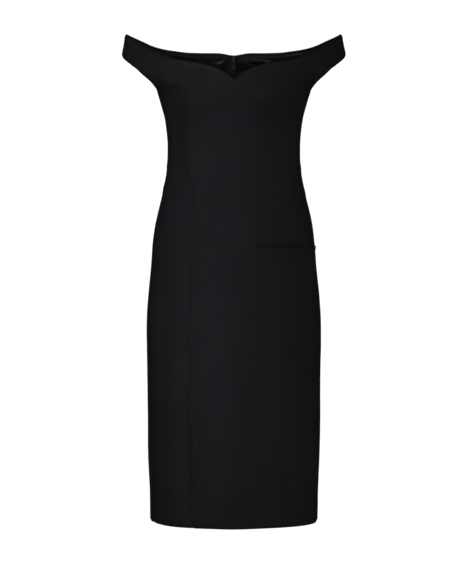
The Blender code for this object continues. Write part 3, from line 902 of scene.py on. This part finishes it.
sliderSettings = {
    "width": 0.0072, "footShare": 0.78, "length": 0.0105, "rounding": 0.0004,
    "crownWidth": 0.0040, "crownLength": 0.0078, "crownLift": 0.00025, "crownFoot": 0.8,
    "crownRounding": 0.0002, "mouthDepth": 0.0016, "mouthRim": 0.09,
}
bailSettings = {"reach": 0.0032, "half": 0.0035, "radius": 0.00045, "sides": 12, "steps": 28, "gap": 0.0003}
pullSettings = {
    "pivotOff": 0.0014, "thickness": 0.0012, "length": 0.0195, "edge": 0.00022,
    "eye": 0.0023, "neck": 0.0016, "tab": 0.0035, "window": 0.0011, "windowEnd": 0.0045,
    "bar": 0.0006, "band": 0.0010, "neckEnd": 0.0018, "corner": 0.0006,
    "neckFoot": 2.7, "shoulders": ((0.93, 1.9), (1.0, 1.6)),  # in half widths of the tab
}


def sliderBox():
    low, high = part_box("zip_slider")
    return Vector(low), Vector(high)


def roundEdges(bm, edges, offset, segments):
    bmesh.ops.bevel(
        bm, geom=edges, offset=offset, segments=segments, profile=0.5, affect="EDGES", material=-1,
    )


def makeSlider():
    low, high = sliderBox()
    middle = (low + high) / 2
    bm = bmesh.new()
    bmesh.ops.create_cube(bm, size=1)
    across = [edge for edge in bm.edges if abs(edge.verts[0].co.x - edge.verts[1].co.x) > 0.5]
    bmesh.ops.subdivide_edges(bm, edges=across, cuts=1)
    mouths = [face for face in bm.faces if face.normal.z > 0.5]
    bmesh.ops.inset_individual(bm, faces=mouths, thickness=sliderSettings["mouthRim"], depth=0)
    mouths = [face for face in mouths if face.is_valid]
    deep = sliderSettings["mouthDepth"] / sliderSettings["length"]
    bmesh.ops.translate(bm, vec=(0, 0, -deep), verts=list({vert for face in mouths for vert in face.verts}))
    for vert in bm.verts:
        width = sliderSettings["width"] * (1 if vert.co.z > -0.4 else sliderSettings["footShare"])
        vert.co = Vector((vert.co.x * width, vert.co.y * (high.y - low.y), vert.co.z * (high.z - low.z)))
    outer = [edge for edge in bm.edges if edge.calc_face_angle(0) > 1.0 and edge.calc_length() > 0.001]
    roundEdges(bm, outer, sliderSettings["rounding"], 3)
    crown = bmesh.ops.create_cube(bm, size=1)["verts"]
    lift = sliderSettings["crownLift"]
    for vert in crown:
        share = 1.0 if vert.co.z > 0 else sliderSettings["crownFoot"]
        vert.co = Vector((
            vert.co.x * sliderSettings["crownWidth"] * share,
            (vert.co.y - 0.5) * 2 * lift - (high.y - low.y) / 2 + lift,
            vert.co.z * sliderSettings["crownLength"],
        ))
    crownEdges = list({edge for vert in crown for edge in vert.link_edges})
    roundEdges(bm, crownEdges, sliderSettings["crownRounding"], 2)
    bmesh.ops.translate(bm, vec=middle, verts=bm.verts)
    newPiece("zipSlider", bm, lacquer, ("zip_slider",))


def makeBail():
    low, high = sliderBox()
    centre = Vector((0, low.y, (low.z + high.z) / 2))
    reach, half = bailSettings["reach"], bailSettings["half"]
    ends = math.acos(bailSettings["gap"] / reach)
    bm = bmesh.new()
    ring = bmesh.ops.create_circle(
        bm, segments=bailSettings["sides"], radius=bailSettings["radius"], cap_ends=True,
        matrix=Matrix.Translation((0, -reach, 0)),
    )["verts"]
    bmesh.ops.rotate(bm, verts=ring, cent=(0, 0, 0), matrix=Matrix.Rotation(-ends, 3, "X"))
    bmesh.ops.spin(
        bm, geom=bm.faces[:], cent=(0, 0, 0), axis=(1, 0, 0), angle=2 * ends, steps=bailSettings["steps"],
        use_duplicate=False,
    )
    bmesh.ops.recalc_face_normals(bm, faces=bm.faces)
    bmesh.ops.scale(bm, vec=(1, 1, half / reach), verts=bm.verts)
    bmesh.ops.translate(bm, vec=centre, verts=bm.verts)
    newPiece("zipBail", bm, lacquer, ("zip_bail",))


def addOutline(data, points):
    spline = data.splines.new("POLY")
    spline.points.add(len(points) - 1)
    for point, (x, y) in zip(spline.points, points):
        point.co = (x, y, 0, 1)
    spline.use_cyclic_u = True


def arcPoints(radius, middle, first, last, steps):
    turns = [math.radians(first + (last - first) * i / steps) for i in range(steps + 1)]
    return [(radius * math.cos(turn), middle + radius * math.sin(turn)) for turn in turns]


# The pull hangs from its crossbar: an eye with a window, a slim neck and a rounded tab
def makePull():
    row, edge, corner = pullSettings, pullSettings["edge"], pullSettings["corner"]
    foot, tab = -row["length"], row["tab"]
    neckTop = -row["windowEnd"] - row["band"]
    right = [(row["eye"] - corner, row["bar"]), (row["eye"], row["bar"] - corner)]
    right += [(row["eye"], neckTop), (row["neck"], neckTop - row["neckEnd"])]
    right += [(row["neck"], foot + row["neckFoot"] * tab)]
    right += [(tab * across, foot + up * tab) for across, up in row["shoulders"]]
    lower = arcPoints(tab, foot + tab, 0, -180, 18)
    left = [(-x, y) for x, y in right[::-1]]
    flat = bpy.data.curves.new("pullOutline", "CURVE")
    flat.dimensions = "2D"
    flat.fill_mode = "BOTH"
    flat.extrude = row["thickness"] / 2 - edge
    flat.bevel_depth = edge
    flat.bevel_resolution = 2
    flat.offset = -edge
    addOutline(flat, right + lower + left)
    half, head, end = row["window"], -row["bar"], -row["windowEnd"]
    addOutline(flat, [(half, head), (-half, head), (-half, end), (half, end)])
    holder = bpy.data.objects.new("pullOutline", flat)
    bpy.context.scene.collection.objects.link(holder)
    shown = holder.evaluated_get(bpy.context.evaluated_depsgraph_get())
    bm = bmesh.new()
    bm.from_mesh(bpy.data.meshes.new_from_object(shown))
    bpy.data.objects.remove(holder)
    bmesh.ops.remove_doubles(bm, verts=bm.verts, dist=1e-5)
    low, high = sliderBox()
    pivot = Vector((0, low.y - row["pivotOff"], (low.z + high.z) / 2))
    hung = Matrix.Translation(pivot) @ Matrix.Rotation(math.pi / 2, 4, "X")
    bmesh.ops.transform(bm, matrix=hung, verts=bm.verts)
    piece = newPiece("zipPull", bm, lacquer, ("zip_pull",), "pull")
    piece.data.set_sharp_from_angle(angle=math.radians(40))


makeSlider()
makeBail()
makePull()
print("slider, bail and pull made")


# Pocket: two folded jets on either side of a slit. The profile runs from a jet's sewn
# edge over the top, round the lip and back underneath; away is the distance from the slit.
Lip = namedtuple("Lip", "away lift")
jetProfile = (
    Lip(0.00480, 0.00050), Lip(0.00440, 0.00072), Lip(0.00330, 0.00100), Lip(0.00200, 0.00128),
    Lip(0.00120, 0.00132), Lip(0.00075, 0.00112), Lip(0.00060, 0.00075), Lip(0.00070, 0.00040),
    Lip(0.00110, 0.00022), Lip(0.00240, 0.00014), Lip(0.00360, 0.00012), Lip(0.00450, 0.00010),
)
jetSettings = {
    "thickness": 0.0003, "columns": 110, "upperLift": 2.3, "lowerLift": 1.3,
    "smooth": 0.05, "shifts": (-1, -0.5, 0, 0.5, 1), "endDrop": 0.02,
}


# The slit's height at each turn round the body, read from the lower jet's top edge
def slitLine():
    bm = meshOf("pocket_jet_lower")
    tops = {}
    for vert in bm.verts:
        turn = round(math.atan2(vert.co.x, -vert.co.y), 2)
        tops[turn] = max(tops.get(turn, -1.0), vert.co.z)
    last = max(math.atan2(vert.co.x, -vert.co.y) for vert in bm.verts)
    bm.free()
    lowest = max(tops.values()) - jetSettings["endDrop"]
    turns = sorted(turn for turn, top in tops.items() if top > lowest)
    return turns, tops, last


def makeJets():
    turns, tops, last = slitLine()
    start = turns[0]

    def slit(turn):
        total = 0.0
        for shift in jetSettings["shifts"]:
            at = min(max(turn + shift * jetSettings["smooth"], turns[0]), turns[-1])
            after = next(i for i, known in enumerate(turns) if known >= at)
            before = max(after - 1, 0)
            run = turns[after] - turns[before]
            share = (at - turns[before]) / run if run else 0.0
            total += tops[turns[before]] + (tops[turns[after]] - tops[turns[before]]) * share
        return total / len(jetSettings["shifts"])

    jets = (
        ("pocket_jet_upper", "pocketJetUpper", 1, jetSettings["upperLift"]),
        ("pocket_jet_lower", "pocketJetLower", -1, jetSettings["lowerLift"]),
    )
    for node, title, way, lift in jets:
        bm = bmesh.new()
        rows, columns = len(jetProfile) - 1, jetSettings["columns"]
        bmesh.ops.create_grid(bm, x_segments=columns, y_segments=rows, size=0.5)
        bm.verts.ensure_lookup_table()
        for vert in bm.verts:
            across, along = round((vert.co.y + 0.5) * rows), vert.co.x + 0.5
            turn = start + (last - start) * along
            lip = jetProfile[across]
            place, normal = onCloth(turn, slit(turn) + way * lip.away)
            vert.co = place + normal * lip.lift * lift
        bmesh.ops.recalc_face_normals(bm, faces=bm.faces)
        outside = max(bm.faces, key=lambda face: face.calc_center_median().xy.length)
        if outside.normal.xy.dot(outside.calc_center_median().xy) < 0:
            bmesh.ops.reverse_faces(bm, faces=bm.faces)
        addCutMap(bm, 1)
        piece = newPiece(title, bm, crepe, (node,))
        thicken(piece, jetSettings["thickness"])


makeJets()
print("pocket made")


# The cut of each sheet of cloth, as sewn, without its allowances, in metres and square metres
Cut = namedtuple("Cut", "width length area held on")


# Light and floor. The beam is a tall soft box with a grid, so it falls off to both sides
stageSettings = {"surroundings": 0.03, "shownWhite": 1.05, "floorHeight": -1.25, "floorHalf": 14}
lightSettings = {
    "beam": {
        "place": (-0.80, -4.30, 2.60), "size": 0.18, "tall": 1.25, "spread": 5.8, "aim": (-0.042, 0, -0.20),
        "power": 0.70,
    },
    "key": {"place": (-3.20, -3.20, 2.60), "size": 1.3, "power": 88},
    "fill": {"place": (-0.60, -5.10, 2.10), "size": 2.0, "power": 24},
    "edgeRight": {"place": (-5.10, -1.20, 0.75), "size": 2.2, "power": 8},
    "edgeLeft": {"place": (5.20, -0.20, 0.90), "size": 2.0, "power": 84},
    "backKey": {"place": (0.80, 4.60, 3.00), "size": 2.2, "power": 175},
    "backFill": {"place": (-2.60, 4.80, 0.70), "size": 2.2, "power": 48},
    "backEdgeLeft": {"place": (5.10, 1.90, 0.75), "size": 2.2, "power": 12},
    "backEdgeRight": {"place": (-5.10, 1.90, 0.75), "size": 2.2, "power": 12},
}


def addLight(name, row):
    data = bpy.data.lights.new(name, "AREA")
    data.size = row["size"]
    if "tall" in row:
        data.shape, data.size_y, data.spread = "RECTANGLE", row["tall"], math.radians(row["spread"])
    aim = row.get("aim", (0, 0, -0.35))
    data.energy = row["power"]
    lamp = bpy.data.objects.new(name, data)
    lamp.location = row["place"]
    lamp.rotation_euler = (Vector(aim) - Vector(row["place"])).to_track_quat("-Z", "Y").to_euler()
    bpy.context.scene.collection.objects.link(lamp)


def makeSurroundings():
    world = bpy.data.worlds.new("studio")
    world.use_nodes = True
    tree = world.node_tree
    soft = tree.nodes["Background"]
    soft.inputs["Color"].default_value = (1, 1, 1, 1)
    soft.inputs["Strength"].default_value = stageSettings["surroundings"]
    seen = tree.nodes.new("ShaderNodeBackground")
    seen.inputs["Color"].default_value = (1, 1, 1, 1)
    seen.inputs["Strength"].default_value = stageSettings["shownWhite"]
    pick = tree.nodes.new("ShaderNodeMixShader")
    path = tree.nodes.new("ShaderNodeLightPath")
    tree.links.new(path.outputs["Is Camera Ray"], pick.inputs[0])
    tree.links.new(soft.outputs[0], pick.inputs[1])
    tree.links.new(seen.outputs[0], pick.inputs[2])
    tree.links.new(pick.outputs[0], tree.nodes["World Output"].inputs["Surface"])
    bpy.context.scene.world = world


def makeFloor():
    bm = bmesh.new()
    bmesh.ops.create_grid(bm, x_segments=1, y_segments=1, size=stageSettings["floorHalf"])
    bmesh.ops.translate(bm, vec=(0, 0, stageSettings["floorHeight"]), verts=bm.verts)
    mesh = bpy.data.meshes.new("floor")
    bm.to_mesh(mesh)
    bm.free()
    floor = bpy.data.objects.new("floor", mesh)
    bpy.context.scene.collection.objects.link(floor)
    material = bpy.data.materials.new("paleFloor")
    material.use_nodes = True
    tree = material.node_tree
    plain = tree.nodes["Principled BSDF"]
    plain.inputs["Base Color"].default_value = (0.85, 0.85, 0.85, 1)
    plain.inputs["Roughness"].default_value = 0.9
    lit = tree.nodes.new("ShaderNodeEmission")
    lit.inputs["Strength"].default_value = stageSettings["shownWhite"]
    pick = tree.nodes.new("ShaderNodeMixShader")
    path = tree.nodes.new("ShaderNodeLightPath")
    tree.links.new(path.outputs["Is Camera Ray"], pick.inputs[0])
    tree.links.new(plain.outputs[0], pick.inputs[1])
    tree.links.new(lit.outputs[0], pick.inputs[2])
    tree.links.new(pick.outputs[0], tree.nodes["Material Output"].inputs["Surface"])
    mesh.materials.append(material)


bpy.context.scene.view_settings.view_transform = "Standard"
makeSurroundings()
makeFloor()
for lightName, row in lightSettings.items():
    addLight(lightName, row)
print("lights and floor set")
